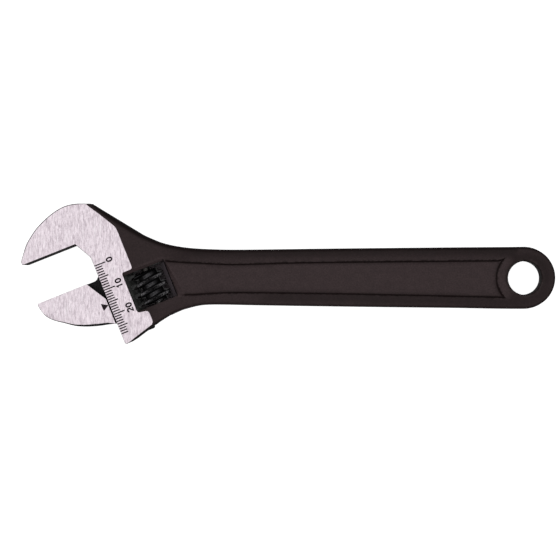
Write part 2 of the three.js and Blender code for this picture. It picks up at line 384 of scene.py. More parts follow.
def black_oxide(name="black_oxide_forging", lit_a=(0.0500, 0.0335, 0.0355), lit_b=(0.0575, 0.0400, 0.0415)):
    n = Nodes(name, specular=0.19)
    n.b.inputs["Specular Tint"].default_value = (1.0, 0.84, 0.85, 1.0)
    cloud = n.noise(140, 3, 0.55)
    blot = n.noise(620, 3, 0.6)
    grain = n.noise(1700, 3, 0.65)
    speck = n.noise(6000, 1, 0.5)
    # this attribute is painted light and shade: where it is high the dark oxide turns into the lighter lit colours, a
    # painted-lit copy of the same finish
    painted_light = n.attr("painted_light")
    c = n.mix(n.span(blot, 0.35, 0.68), (0.0092, 0.0048, 0.0050), (0.0138, 0.0082, 0.0084))
    c = n.mix(n.span(cloud, 0.4, 0.62, 0.0, 0.45), c, (0.0098, 0.0066, 0.0066))
    lit = n.mix(n.span(blot, 0.33, 0.70), lit_a, lit_b)
    c = n.mix(painted_light, c, lit)
    c = n.shade(c, n.span(grain, 0.30, 0.70, 0.72, 1.30))
    c = n.shade(c, n.span(n.noise(330, 3, 0.6), 0.30, 0.70, 0.90, 1.10))
    wear = n.math("MULTIPLY", n.attr("wear"), n.span(n.noise(900, 4, 0.65), 0.42, 0.62))
    c = n.mix(n.math("MULTIPLY", wear, 0.55), c, (0.105, 0.088, 0.084))
    rough = n.span(blot, 0.3, 0.7, 0.43, 0.56)
    rough = n.math("SUBTRACT", rough, n.math("MULTIPLY", wear, 0.12))
    h = n.math("ADD", n.math("MULTIPLY", grain, 0.8), n.math("MULTIPLY", speck, 0.30))
    nb = n.bump(blot, 0.26, 0.00006)
    return n.done(c, rough, n.bump(h, 0.42, 0.000028, nb))


def ground_steel(name, angle, tint=1.0):
    """Surface-ground faces: short fine scratches, all close to one direction."""
    n = Nodes(name, metallic=1.0)
    rot = (0, 0, math.radians(angle))
    fine = n.noise(1.0, 2, 0.6, n.mapping((3900, 700, 900), rot))
    mid = n.noise(1.0, 3, 0.65, n.mapping((2250, 380, 500), rot), 0.6)
    long = n.noise(1.0, 2, 0.5, n.mapping((1000, 110, 300), (0, 0, math.radians(angle + 4))))
    speck = n.noise(2100, 3, 0.7)
    cloud = n.noise(75, 2, 0.5)
    a = tuple(x * tint for x in (0.925, 0.832, 0.888))
    b = tuple(x * tint for x in (0.345, 0.280, 0.322))
    s = n.math("ADD", n.math("MULTIPLY", n.span(mid, 0.40, 0.68), 0.50), n.math("MULTIPLY", n.span(fine, 0.36, 0.70), 0.28))
    s = n.math("ADD", s, n.math("MULTIPLY", n.span(speck, 0.42, 0.68), 0.22))
    c = n.mix(s, a, b)
    c = n.mix(n.span(cloud, 0.35, 0.7, 0.0, 0.26), c, tuple(x * tint for x in (0.76, 0.675, 0.725)))
    c = n.mix(n.span(long, 0.58, 0.72, 0.0, 0.38), c, tuple(x * tint for x in (0.93, 0.88, 0.91)))
    rough = n.math("ADD", n.span(mid, 0.25, 0.75, 0.28, 0.42), n.span(fine, 0.3, 0.7, -0.03, 0.05))
    h = n.math("ADD", n.math("MULTIPLY", fine, 0.5), n.math("MULTIPLY", mid, 0.7))
    return n.done(c, rough, n.bump(h, 0.45, 0.000020))


def dark_steel(name, dark, light, rough_lo, rough_hi, metallic=0.85, turned_marks=True, specular=0.5):
    """Machined, darkened steel of the worm, the bores, the rack and the pin."""
    n = Nodes(name, metallic=metallic, specular=specular)
    blot = n.noise(800, 3, 0.6)
    grain = n.noise(3800, 3, 0.65)
    wear = n.attr("wear")
    c = n.mix(n.span(blot, 0.3, 0.7), dark, light)
    c = n.mix(n.span(grain, 0.5, 0.78, 0.0, 0.5), c, tuple(min(1, x * 1.7) for x in light))
    c = n.mix(n.math("MULTIPLY", wear, n.span(n.noise(1500, 3, 0.6), 0.40, 0.66)), c, (0.44, 0.42, 0.43))
    rough = n.span(n.noise(1900, 3, 0.6), 0.3, 0.7, rough_lo, rough_hi)
    nb = n.bump(grain, 0.32, 0.00002)
    if turned_marks:
        lines = n.noise(1.0, 1, 0.4, n.mapping((260, 5200, 260), (0, 0, TILT)))
        nb = n.bump(lines, 0.25, 0.00001, nb)
    return n.done(c, rough, nb)


def etched():
    n = Nodes("etched_mark", specular=0.12)
    grain = n.noise(5200, 3, 0.6)
    c = n.mix(grain, (0.009, 0.005, 0.008), (0.024, 0.014, 0.019))
    return n.done(c, n.span(grain, 0.3, 0.7, 0.55, 0.75), n.bump(grain, 0.3, 0.00001))


def spring_wire():
    n = Nodes("spring_wire", metallic=1.0)
    fine = n.noise(2400, 3, 0.6)
    c = n.mix(n.span(fine, 0.3, 0.7), (0.46, 0.45, 0.46), (0.60, 0.59, 0.60))
    return n.done(c, n.span(fine, 0.3, 0.7, 0.22, 0.34), n.bump(fine, 0.2, 0.00001))


BLACK = black_oxide()
STEEL = ground_steel("ground_face_body", -6.0)
STEEL_JAW = ground_steel("ground_face_jaw", -8.0, 1.0)
BORE = dark_steel("machined_bore", (0.010, 0.009, 0.009), (0.022, 0.019, 0.020), 0.40, 0.54, 0.5, True, 0.2)
# the jaw's own dark steel, made darker still as painted shade for the web between the jaws and the jaw's sides
JAW_DARK_SHADED = dark_steel("jaw_dark_steel_painted_shade", (0.0035, 0.0030, 0.0038), (0.0075, 0.0065, 0.0078), 0.42, 0.58, 0.0, False, 0.10)
RACK = dark_steel("rack_steel", (0.012, 0.012, 0.012), (0.027, 0.028, 0.026), 0.30, 0.44, 0.8, True, 0.3)
WORM = dark_steel("worm_dark_steel", (0.010, 0.010, 0.011), (0.026, 0.025, 0.028), 0.22, 0.36, 0.85, True, 0.4)
PIN = dark_steel("pin_dark_steel", (0.040, 0.036, 0.035), (0.075, 0.069, 0.067), 0.30, 0.45)
# the same black oxide with lighter lit colours: painted light on the window's side wall beside the worm
WALL_LIT = black_oxide("window_wall_oxide_painted_light", (0.0700, 0.0570, 0.0650), (0.0780, 0.0640, 0.0720))
# near-black: a painted shadow line round the window's rim
EDGE_SHADE = dark_steel("window_edge_painted_shade", (0.0040, 0.0032, 0.0038), (0.0085, 0.0068, 0.0078), 0.46, 0.60, 0.0, False, 0.08)
MARK = etched()
WIRE = spring_wire()

# ---------------------------------------------------------------- outline of the forging, clockwise from the throat corner
jaw_back = [(-102.9, 3.8), (-103.08, 4.6), (-102.62, 6.5), (-101.27, 10.97), (-99.35, 14.42), (-97.51, 17.11), (-95.4, 19.49),
            (-92.71, 22.0), (-90.02, 24.05), (-87.71, 25.4), (-85.79, 26.2), (-83.49, 26.75), (-81.18, 27.02)]
upper_flank = [(-76.2, 27.02), (-71.46, 24.1), (-67.57, 21.75), (-63.13, 19.05), (-58.7, 16.37), (-56.0, 14.8), (-51.8, 12.94), (-48.98, 11.9),
               (-45.49, 11.02), (-42.0, 10.4), (-38.23, 9.94), (-32.3, 9.55), (-22.98, 9.3), (-10.18, 9.37)]
lower_flank = [(2.26, -12.55), (-15.65, -12.25), (-24.99, -12.05), (-31.5, -12.1), (-35.51, -12.56), (-40.18, -13.77), (-42.36, -14.55),
               (-46.41, -16.5), (-51.9, -20.0)]
handle_end = [(HOLE["x"] + END_R * math.cos(a), HOLE["y"] + 0.08 + END_R * math.sin(a)) for a in np.linspace(math.pi / 2, -math.pi / 2, 60)]

edge_rows = []


def edge(points, inset, drop, draft, step=0.7):
    """A stretch of the outline. inset and drop of the rounded edge and the side's draft are (share, value) tables or numbers."""
    p = resample(points, step)
    s = np.concatenate([[0], np.cumsum(np.linalg.norm(np.diff(p, axis=0), axis=1))])
    s /= s[-1]

    def table(x):
        return np.full(len(p), float(x)) if isinstance(x, (int, float)) else np.interp(s, [a for a, _ in x], [b for _, b in x])
    edge_rows.append(np.column_stack([p, table(inset), table(drop), table(draft)])[:-1])


def by_x(points, pairs):
    """(share, value) table from (x, value) pairs along a polyline that runs along x."""
    p = np.asarray(points, float)
    s = np.concatenate([[0], np.cumsum(np.linalg.norm(np.diff(p, axis=0), axis=1))])
    s /= s[-1]
    order = np.argsort(p[:, 0])
    return sorted((float(np.interp(x, p[order, 0], s[order])), v) for x, v in pairs)


edge([H(-21.1, FIXED_FACE), H(-42.2, FIXED_FACE)], 0.10, 0.10, 0.0)
edge([H(-42.2, FIXED_FACE), H(-42.8, FIXED_FACE - 0.12), jaw_back[0]], [(0, 0.1), (1, 0.16)], [(0, 0.1), (1, 0.2)], 0.0, 0.3)
edge(spline(jaw_back, 72), [(0, 0.16), (0.10, 0.34), (0.2, 0.42), (1, 0.42)], [(0, 0.2), (0.1, 0.4), (1, 0.5)], [(0, 0.0), (0.1, 0.10), (1, 0.10)])
edge([(-81.18, 27.02), (-76.2, 27.02)], [(0, 0.42), (0.55, 0.3), (1, 0.35)], [(0, 0.5), (0.55, 0.4), (1, 0.5)], 0.12)
flank = spline(upper_flank, 130)
edge(flank, by_x(flank, [(-76.2, 0.35), (-73.5, 1.2), (-70, 2.05), (-66, 2.5), (-60, 2.4), (-54, 1.9), (-48, 1.8), (-37, 2.2), (-25, 1.85), (-10, 1.65)]),
     by_x(flank, [(-76.2, 0.5), (-73.5, 1.4), (-70, 2.3), (-66, 2.7), (-60, 2.6), (-54, 2.1), (-48, 1.9), (-37, 1.8), (-25, 1.6), (-10, 1.5)]), 0.2)
top_run = [(-10.18, 9.37), (6.12, 9.6), (32.9, 9.9), (65.49, 10.2), (88.5, 10.38), handle_end[0]]
edge(curve_x(top_run, 1.2), [(0, 1.65), (1, 1.6)], [(0, 1.5), (1, 1.5)], 0.2, 1.0)
edge(handle_end, [(0, 1.6), (0.2, 1.35), (0.8, 1.3), (1, 1.45)], 1.4, 0.2)
bottom_run = [handle_end[-1], (88.5, -13.68), (61.44, -13.3), (32.63, -12.98), (2.26, -12.55)]
edge(curve_x(bottom_run, 1.2), [(0, 1.45), (1, 1.45)], [(0, 1.4), (1, 1.4)], 0.2, 1.0)
lower = spline(lower_flank, 80)
edge(lower, by_x(lower, [(-51.9, 0.9), (-49.5, 1.1), (-44, 1.25), (-36, 1.4), (-20, 1.45), (2, 1.45)]),
     by_x(lower, [(-51.9, 1.3), (-49.5, 1.5), (-44, 1.6), (-36, 1.5), (-20, 1.4), (2, 1.4)]), 0.2, 0.6)
edge([(-51.9, -20.0), H(-13.0, 16.8), H(-15.4, 17.15), H(-16.7, 17.15)], [(0, 0.9), (0.7, 0.75), (0.92, 0.3), (1, 0.2)],
     [(0, 1.3), (0.7, 1.1), (0.92, 0.3), (1, 0.2)], [(0, 0.2), (0.7, 0.1), (1, 0.0)], 0.5)
edge([H(-16.7, 17.15), H(-17.2, 16.85), H(STRIP_LEFT, 16.4)], [(0, 0.2), (1, 0.1)], [(0, 0.2), (1, 0.1)], 0.0, 0.4)
edge([H(STRIP_LEFT, 16.4), H(STRIP_LEFT, -18.3)], 0.10, 0.10, 0.0)
edge([H(STRIP_LEFT, -18.3), H(-17.42, -18.75), H(-17.75, -19.6), H(-20.3, -24.3), H(-20.7, -25.05), H(-21.1, FIXED_FACE)], [(0, 0.1), (0.3, 0.14), (0.9, 0.14), (1, 0.1)], [(0, 0.1), (1, 0.1)], 0.0, 0.6)
rows = np.vstack(edge_rows)


def inward(p):
    """Inward unit normals of a closed outline, lengthened at corners so that both sides keep their inset."""
    nxt, prv = np.roll(p, -1, 0), np.roll(p, 1, 0)
    e1, e2 = p - prv, nxt - p
    e1 /= np.linalg.norm(e1, axis=1)[:, None]
    e2 /= np.linalg.norm(e2, axis=1)[:, None]
    area = 0.5 * np.sum(p[:, 0] * nxt[:, 1] - nxt[:, 0] * p[:, 1])
    side = 1.0 if area > 0 else -1.0
    n1 = side * np.column_stack([-e1[:, 1], e1[:, 0]])
    n2 = side * np.column_stack([-e2[:, 1], e2[:, 0]])
    m = n1 + n2
    return m / np.maximum(1 + np.sum(n1 * n2, 1), 0.5)[:, None]


# ground faces end here: from the top of the head down to its lower corner
silver_edge = [(-78.2, 26.6), *[H(u, v) for u, v in [
    (-8.22, -33.11), (-6.7, -30.5), (-5.23, -27.95), (-4.6, -26.85), (-4.25, -25.7), (-4.13, -24.2), (-4.1, -9.9), (-4.22, -9.35), (-4.7, -8.95), (-7.44, -8.2), (-8.4, -7.7),
    (-8.4, 7.3), (-7.7, 7.75), (-5.3, 8.1), (-4.75, 8.4), (-4.4, 8.95), (-4.3, 9.6), (-4.3, 12.4), (-4.45, 13.1), (-4.9, 13.7)]]]
silver_area = [*silver_edge, H(-4.9, 40), H(-60, 40), H(-60, -70), (-78.2, 60)]

arc = [(HOLE["x"] + 10.6 * math.cos(math.radians(a)), HOLE["y"] + 10.6 * math.sin(math.radians(a))) for a in np.linspace(228, 132, 30)]
panel_bottom = [(-47.5, -9.0), (-40.7, -8.65), (-36, -8.45), (-28, -7.95), (-20.2, -7.75), (4.1, -8.0), (81.0, -9.5), arc[0]]
panel_top = [arc[-1], (81.0, 5.35), (4.1, 4.55), (-22.2, 3.9), (-35.6, 4.45), (-41.0, 4.7), (-46.2, 5.1), (-52, 5.6)]
panel_walls = np.vstack([curve_x(panel_bottom[:-1], 1.5), np.array(arc), curve_x(panel_top[1:], 1.5)])
panel_area = [*panel_walls.tolist(), (-52, -9.2)]

ramp_x = np.linspace(-115, 115, 2301)
ramp_z = np.interp(ramp_x, [-115, -50, -44, -38, -31, -25, -18, 115], [FORGED_HALF, FORGED_HALF, 5.9, 5.3, 4.55, 4.1, RIM_HALF, RIM_HALF])
gauss = np.exp(-0.5 * (np.arange(-60, 61) / 18.0) ** 2)
ramp_z = np.convolve(np.pad(ramp_z, 60, mode="edge"), gauss / gauss.sum(), mode="valid")


def facet_width(v):
    """The slanted end of the panel beside the worm window widens towards the lower side."""
    return np.clip((v + 5.6) / 10.6, 0, 1) * 1.95 + 0.35


def body_height(p):
    """Height of the upper surface over the mid-plane."""
    p = np.asarray(p, float)
    base = np.interp(p[:, 0], ramp_x, ramp_z)
    d = distance(p, silver_edge)
    h = base + (HEAD_HALF - base) * np.exp(-d / 2.4)
    h += 0.028 * waves(p, 5, 11.0) * smooth01((d - 0.5) / 5.0)
    wall = distance(p, panel_walls)
    ins = inside(panel_area, p)
    uv = uv_of(p)
    end = np.clip((uv[:, 0] - WINDOW["right"]) / facet_width(uv[:, 1]), 0, 1)
    h -= np.where(ins, PANEL_DEPTH * smooth01(wall / PANEL_WALL) * end, 0.0)
    # the rims roll over softly towards the panel
    h -= np.where(ins, 0.0, 0.10 * (1 - smooth01(wall / 1.1)) * (end > 0))
    return np.where(inside(silver_area, p), HEAD_HALF, h)


K = 7
outer = rows[:, :2]
normal = inward(outer.copy())


def at_inset(k):
    return outer + normal * k[:, None]


inset, drop, draft = rows[:, 2], rows[:, 3], np.minimum(rows[:, 4], rows[:, 2] * 0.5)
inner = at_inset(inset)
inner_z = body_height(inner)
N = len(outer)

# inner sheet: grid points, constraint lines and the innermost ring
ring_edges = [(i, (i + 1) % N) for i in range(N)]
points = inner.tolist()
lines = []


def constrain(poly, closed=False, step=0.8, snap=True):
    p = resample(poly, step)
    if snap:
        for end in (0, -1):
            p[end] = inner[np.argmin(np.linalg.norm(inner - p[end], axis=1))]
    n0 = len(points)
    points.extend(p.tolist())
    lines.extend((n0 + i, n0 + i + 1) for i in range(len(p) - 1))
    if closed:
        lines.append((n0 + len(p) - 1, n0))
    return p


silver_line = constrain(silver_edge)
facet_line = resample([H(WINDOW["right"] + float(facet_width(np.array(v))), v) for v in np.linspace(-7.5, 7.1, 16)], 0.8)
constrain(facet_line, snap=False)
constrain([H(WINDOW["right"], -8.6), H(WINDOW["right"], 8.2)], snap=False)
walls_n = inward(np.vstack([panel_walls, [(-52, -9.2)]]))[:-1]
for off in (0.0, 0.16, 0.32, 0.48, 0.64, 0.8):
    constrain(panel_walls + walls_n * off, snap=False, step=0.9)
    if off == 0.0:
        constrain(panel_walls - walls_n * 0.5, snap=False, step=1.0)
        constrain(panel_walls - walls_n * 1.1, snap=False, step=1.2)

gx, gy = np.meshgrid(np.arange(-104, 104, 1.15), np.arange(-28, 28, 1.0))
gx = gx + (np.arange(gx.shape[0]) % 2)[:, None] * 0.575
grid = np.column_stack([gx.ravel(), gy.ravel()])
grid = grid[inside(inner, grid)]
grid = grid[(distance(grid, np.vstack([inner, inner[:1]])) > 0.5) & (distance(grid, panel_walls) > 1.25) & (distance(grid, silver_line) > 0.4)]
sparse = inside(silver_area, grid)
keep = ~sparse | ((np.arange(len(grid)) % 7) == 0)
points.extend(grid[keep].tolist())

def sheet_of(pts, edges, boundary):
    """Triangles of the points inside the boundary, along the given edges."""
    made = delaunay_2d_cdt([Vector(p) for p in pts], edges, [], 0, 1e-6, False)
    xy = np.array([(v.x, v.y) for v in made[0]])
    faces = [tuple(f) for f in made[2]]
    centre = np.array([xy[list(f)].mean(0) for f in faces])
    ok = inside(boundary, centre)
    return xy, [f for f, k in zip(faces, ok) if k]


sheet_xy, sheet_faces = sheet_of(points, ring_edges + lines, inner)
sheet_z = body_height(sheet_xy)


class Welded:
    def __init__(self):
        self.verts, self.index = [], {}

    def add(self, p):
        key = (round(p[0], 4), round(p[1], 4), round(p[2], 4))
        if key not in self.index:
            self.index[key] = len(self.verts)
            self.verts.append(tuple(p))
        return self.index[key]


def plate(outer_ring, ins, drp, drf, top_z, rings, sheet_points, sheet_top, faces2d, sheet_mats, edge_mat, band=0.5, name="plate", mats=()):
    """A closed plate, alike on both faces: a flat-sided wall with draft and a parting band, a rounded edge, and the sheet."""
    w = Welded()
    nrm = inward(outer_ring.copy())
    levels = []
    z0 = top_z - drp
    b = np.minimum(band, z0 * 0.5)
    levels.append((np.zeros(len(outer_ring)), b))
    levels.append((np.minimum(0.45 * drf, 0.12), b + 0.12))
    for k in range(rings + 1):
        a = 0.5 * math.pi * k / rings
        levels.append((drf + (ins - drf) * (1 - math.cos(a)), z0 + drp * math.sin(a)))
    faces, fm = [], []
    n = len(outer_ring)
    for sign in (1, -1):
        rows_i = []
        for off, z in levels:
            p = outer_ring + nrm * off[:, None]
            rows_i.append([w.add((p[i, 0], p[i, 1], sign * z[i])) for i in range(n)])
        for r0, r1 in zip(rows_i[:-1], rows_i[1:]):
            for i in range(n):
                j = (i + 1) % n
                q = (r0[i], r0[j], r1[j], r1[i])
                faces.append(q if sign > 0 else tuple(reversed(q)))
                fm.append(edge_mat)
        ids = [w.add((x, y, sign * z)) for (x, y), z in zip(sheet_points, sheet_top)]
        if sign > 0:
            upper_band = rows_i[0]
        else:
            lower_band = rows_i[0]
        # sheets wind with the wall: the outline runs clockwise when its area is negative
        for f, m in zip(faces2d, sheet_mats):
            q = tuple(ids[i] for i in f)
            if len(set(q)) < 3:
                continue
            a2 = sum(w.verts[q[i]][0] * w.verts[q[(i + 1) % len(q)]][1] - w.verts[q[(i + 1) % len(q)]][0] * w.verts[q[i]][1] for i in range(len(q)))
            up = q if a2 > 0 else tuple(reversed(q))
            faces.append(up if sign > 0 else tuple(reversed(up)))
            fm.append(m)
    for i in range(n):
        j = (i + 1) % n
        faces.append((lower_band[i], lower_band[j], upper_band[j], upper_band[i]))
        fm.append(edge_mat)
    return w.verts, faces, fm


def consistent(name, verts, faces, fm, mats):
    """Mesh with faces made to point out everywhere."""
    import bmesh
    me = bpy.data.meshes.new(name)
    v = (np.asarray(verts, float) + (0, 0, LIFT)) / 1000.0
    me.from_pydata(v.tolist(), [], faces)
    for m in mats:
        me.materials.append(m)
    me.polygons.foreach_set("material_index", np.asarray(fm, np.int32))
    bm = bmesh.new()
    bm.from_mesh(me)
    bmesh.ops.remove_doubles(bm, verts=bm.verts, dist=3e-7)
    bmesh.ops.dissolve_degenerate(bm, edges=bm.edges, dist=1e-8)
    bmesh.ops.recalc_face_normals(bm, faces=bm.faces)
    bad = sum(1 for e in bm.edges if len(e.link_faces) != 2)
    if bm.calc_volume(signed=True) < 0:
        bmesh.ops.reverse_faces(bm, faces=bm.faces)
    print(name, "faces", len(bm.faces), "volume mm3", round(bm.calc_volume(signed=True) * 1e9, 1), "open edges", bad)
    bm.to_mesh(me)
    bm.free()
    me.update()
    return me


tri_centres = np.array([sheet_xy[list(f)].mean(0) for f in sheet_faces])
is_silver = inside(silver_area, tri_centres)
verts, faces, fm = plate(outer, inset, drop, draft, inner_z, K, sheet_xy, sheet_z, sheet_faces, [1 if s else 0 for s in is_silver], 0)
body_base = consistent("body_base", verts, faces, fm, [BLACK, STEEL, MARK, BORE])

# ---------------------------------------------------------------- cuts in the forging
def window_ring(z):
    a = abs(z)
    top_c = max(0.0, a - 5.75) * 1.8
    low_c = max(0.0, a - 6.25) * 0.45
    left_c = max(0.0, a - 6.25) * 0.6
    right = np.interp(a, [1.0, 5.1, 5.9, 9.0], [WINDOW["waist"], WINDOW["right"] - 0.42, WINDOW["right"], WINDOW["right"] + 0.3])
    l, r, t, b = WINDOW["left"] - left_c, float(right), WINDOW["top"] - top_c, WINDOW["bottom"] + low_c
    ring = []
    for cu, cv, rad, a0 in ((l, t, 0.8, 180), (r, t, 0.45, 270), (r, b, 0.4, 0), (l, b, 0.9, 90)):
        su, sv = (1 if cu == l else -1), (1 if cv == t else -1)
        for k in range(7):
            ang = math.radians(a0 + 90 * k / 6)
            x, y = H(cu + su * rad + rad * math.cos(ang), cv + sv * rad + rad * math.sin(ang))
            ring.append((x, y, z))
    return ring


zs = [-9, -6.9, -6.6, -6.3, -6.25, -6.05, -5.9, -5.75, -5.1, -4, -2.5, -1, 0, 1, 2.5, 4, 5.1, 5.75, 5.9, 6.05, 6.25, 6.3, 6.6, 6.9, 9]
wv_, wf_ = loft([window_ring(z) for z in zs])
# material 1 paints light on the side wall beside the worm; material 2 is a painted shadow line in a band below the
# window's rim
window_faces = []
for q in wf_:
    c3 = np.mean([wv_[i] for i in q], axis=0)
    cu = uv_of(c3[None, :])[0]
    side = len(q) == 4 and cu[0] > 5.8 and abs(cu[1]) < 6.95
    window_faces.append(1 if side and abs(c3[2]) < 5.1 else 2 if len(q) == 4 and 5.1 < abs(c3[2]) < (6.1 if cu[0] > 5.8 else 5.75) else 0)
window_cut = new_mesh("window_cut", wv_, wf_, mats=[BLACK, WALL_LIT, EDGE_SHADE], face_mats=window_faces)

bore_cut = new_mesh("bore_cut", *turned([(0, -28.7), (BORE_R, -28.7), (BORE_R, 14.2), (BORE_R + 0.02, 14.3), (BORE_R + 0.02, 30), (0, 30)], 112, SHANK_U), mats=[BORE])
slot_cut = new_mesh("slot_cut", *prism([H(-19.9, -28.4), H(-12, -28.4), H(-12, 30), H(-30, 30), H(-30, -25.7), H(-21.3, -25.7)], -SLOT_HALF, SLOT_HALF), mats=[BORE])
pin_cut = new_mesh("pin_cut", *turned([(0, -12.6), (PIN_BORE_R, -12.6), (PIN_BORE_R, 20), (0, 20)], 64), mats=[BORE])
head_cut = new_mesh("head_cut", *turned([(0, PIN_HEAD_V - 0.3), (PIN_HEAD_R + 0.3, PIN_HEAD_V - 0.3), (PIN_HEAD_R + 0.3, 24), (0, 24)], 64), mats=[BORE])


def hole_rings():
    out = []
    for z in np.concatenate([[-9, -4.4], -RIM_HALF + 0.75 * (1 - np.cos(np.linspace(0, math.pi / 2, 8))), [0],
                             (RIM_HALF - 0.75 * (1 - np.cos(np.linspace(0, math.pi / 2, 8))))[::-1], [4.4, 9]]):
        a = abs(z)
        if a > RIM_HALF:
            r = HOLE["r"] + 0.75 + (a - RIM_HALF) * 3.0
        elif a > RIM_HALF - 0.75:
            s = (a - (RIM_HALF - 0.75)) / 0.75
            r = HOLE["r"] + 0.75 * (1 - math.sqrt(max(0.0, 1 - s * s)))
        else:
            r = HOLE["r"]
        out.append([(HOLE["x"] + r * math.cos(t), HOLE["y"] + r * math.sin(t), z) for t in np.linspace(0, 2 * math.pi, 97)[:-1]])
    return out


hole_cut = new_mesh("hole_cut", *loft(hole_rings()), mats=[BLACK])


# ---------------------------------------------------------------- engraved scale: millimetre ticks, three numerals
def bar(u0, u1, v, w=0.48):
    return [H(u0, v - w / 2), H(u1, v - w / 2), H(u1, v + w / 2), H(u0, v + w / 2)]


def stroke(line, w):
    p = np.asarray(line, float)
    d = np.diff(p, axis=0)
    d /= np.linalg.norm(d, axis=1)[:, None]
    nn = np.column_stack([-d[:, 1], d[:, 0]])
    m = np.vstack([nn[:1], nn[:-1] + nn[1:], nn[-1:]])
    m[1:-1] /= np.maximum(1 + np.sum(nn[:-1] * nn[1:], 1), 0.45)[:, None]
    return np.vstack([p + m * w / 2, (p - m * w / 2)[::-1]])


def glyph(kind, a0, u0, v0, z0, z1, w=0.60):
    """A numeral, its top towards the ticks and its reading direction up the scale."""
    def place(q):
        return [H(u0 - b, v0 - (a0 + a)) for a, b in q]
    if kind == "0":
        t = np.linspace(0, 2 * math.pi, 33)[:-1]
        ring = [np.column_stack([(0.66 + s) * np.sign(np.cos(t)) * np.abs(np.cos(t)) ** 0.85, (1.02 + s) * np.sin(t)]) for s in (w / 2, -w / 2)]
        o, i = place(ring[0]), place(ring[1])
        n = len(o)
        v = [(*q, z) for z in (z0, z1) for loop in (o, i) for q in loop]
        f = []
        for k in range(n):
            j = (k + 1) % n
            f += [(k, j, n + j, n + k), (2 * n + j, 2 * n + k, 3 * n + k, 3 * n + j),
                  (j, k, 2 * n + k, 2 * n + j), (n + k, n + j, 3 * n + j, 3 * n + k)]
        return v, f
    if kind == "1":
        line = [(-0.50, 0.62), (0.06, 1.12), (0.06, -1.14)]
    else:
        t = np.radians(np.linspace(168, -38, 15))
        top = np.column_stack([0.60 * np.cos(t), 0.48 + 0.60 * np.sin(t)])
        line = [*top.tolist(), (-0.62, -1.00), (0.72, -1.00)]
    return prism(place(stroke(line, w)), z0, z1)


DEPTH = 0.07
parts = []
for k in range(29):
    v = -15.2 + k
    length = 4.45 if k % 10 == 0 else 3.7 if k % 5 == 0 else 2.75
    parts.append(prism(bar(-17.2, -17.2 + length, v), HEAD_HALF - DEPTH, HEAD_HALF + 0.6))
for text, u0, v0 in (("0", -11.07, -15.56), ("10", -10.95, -5.75), ("20", -10.6, 4.45)):
    for i, ch in enumerate(text):
        parts.append(glyph(ch, (i - (len(text) - 1) / 2) * 1.95, u0, v0, HEAD_HALF - DEPTH, HEAD_HALF + 0.6))
scale_cut = bpy.data.meshes.new("scale_cut")
all_v, all_f = [], []
for v, f in parts:
    vv = np.asarray(v, float)
    vol = sum(np.dot(vv[q[0]], np.cross(vv[q[k]], vv[q[k + 1]])) for q in f for k in range(1, len(q) - 1))
    if vol < 0:
        f = [tuple(reversed(q)) for q in f]
    n = len(all_v)
    all_v += [tuple(x) for x in vv]
    all_f += [tuple(i + n for i in q) for q in f]
scale_cut.from_pydata(((np.array(all_v) + (0, 0, LIFT)) / 1000).tolist(), [], all_f)
scale_cut.materials.append(MARK)
scale_cut.update()

body_mesh = finish_mesh(cut(body_base, [("DIFFERENCE", window_cut), ("DIFFERENCE", bore_cut), ("DIFFERENCE", slot_cut), ("DIFFERENCE", pin_cut),
                                        ("DIFFERENCE", head_cut), ("DIFFERENCE", hole_cut), ("DIFFERENCE", scale_cut)], "wrench_body"), 26)

# painted light and shade, and wear, on the black finish
co = coords(body_mesh)
xy, z = co[:, :2], co[:, 2]
ins = inside(panel_area, xy)
wall = distance(xy, panel_walls)
# painted light on the panel floor beside the handle, fading to painted shade at the panel walls, more so along its
# lower half
painted_light = np.where(ins & (uv_of(xy)[:, 0] > WINDOW["right"]), (0.72 - 0.16 * (1 - smooth01(wall / 3.4)) * (xy[:, 1] < -3)) * smooth01((wall - 0.3) / 1.0), 0.0)
uv = uv_of(xy)
upper = np.abs(z) > body_height(xy) - 0.25
fw = facet_width(uv[:, 1])
# painted highlight: the slanted facet at the panel's end beside the window is painted fully lit
facet = ins & (uv[:, 0] < WINDOW["right"] + fw + 0.05) & (uv[:, 0] > WINDOW["right"] - 0.2)
painted_light = np.where(facet, 1.0, painted_light)
rim_out = distance(xy, np.vstack([outer, outer[:1]]))
head_zone = smooth01((-46 - xy[:, 0]) / 10)
# painted light: lighter over the head, over the lower side of the neck, and a little everywhere, more on the lower half
painted_light += 0.34 * smooth01((-38 - xy[:, 0]) / 12) * (~ins) * (xy[:, 1] > -9) * upper
painted_light += 0.28 * (xy[:, 1] < -4) * (~ins) * smooth01((-6 - xy[:, 0]) / 10) * smooth01((xy[:, 0] + 56) / 8) * upper
painted_light += (0.04 + 0.12 * (xy[:, 1] < -4)) * (~ins) * upper
# the rims: painted shade at the top edge with painted light towards the panel, and painted highlight along the lower
# edge
handle = smooth01((xy[:, 0] + 46) / 12) * smooth01((84 - xy[:, 0]) / 6)
painted_light += 0.40 * handle * (~ins) * (xy[:, 1] > 1) * smooth01((rim_out - 1.9) / 2.6)
# painted shade on the rounded outline, except in the panel and on the lower side; the painted light stays on the faces
# only
painted_light *= np.where(ins | (xy[:, 1] < -6), 1.0, smooth01((rim_out - 0.9) / 1.6))
painted_light *= upper
# painted highlight along the lower rounded edge, strongest along the neck
lower_edge_highlight = smooth01((2.3 - rim_out) / 1.5) * (np.abs(z) > 1.2) * ((xy[:, 1] < -6.0) & (xy[:, 0] > -51.5)) * (~ins)
painted_light = np.maximum(painted_light, lower_edge_highlight * np.interp(xy[:, 0], [-52, -44, -30, 0, 60, 92, 99], [0.30, 0.48, 0.56, 0.54, 0.44, 0.34, 0.24]))
hole_r = np.hypot(xy[:, 0] - HOLE["x"], xy[:, 1] - HOLE["y"])
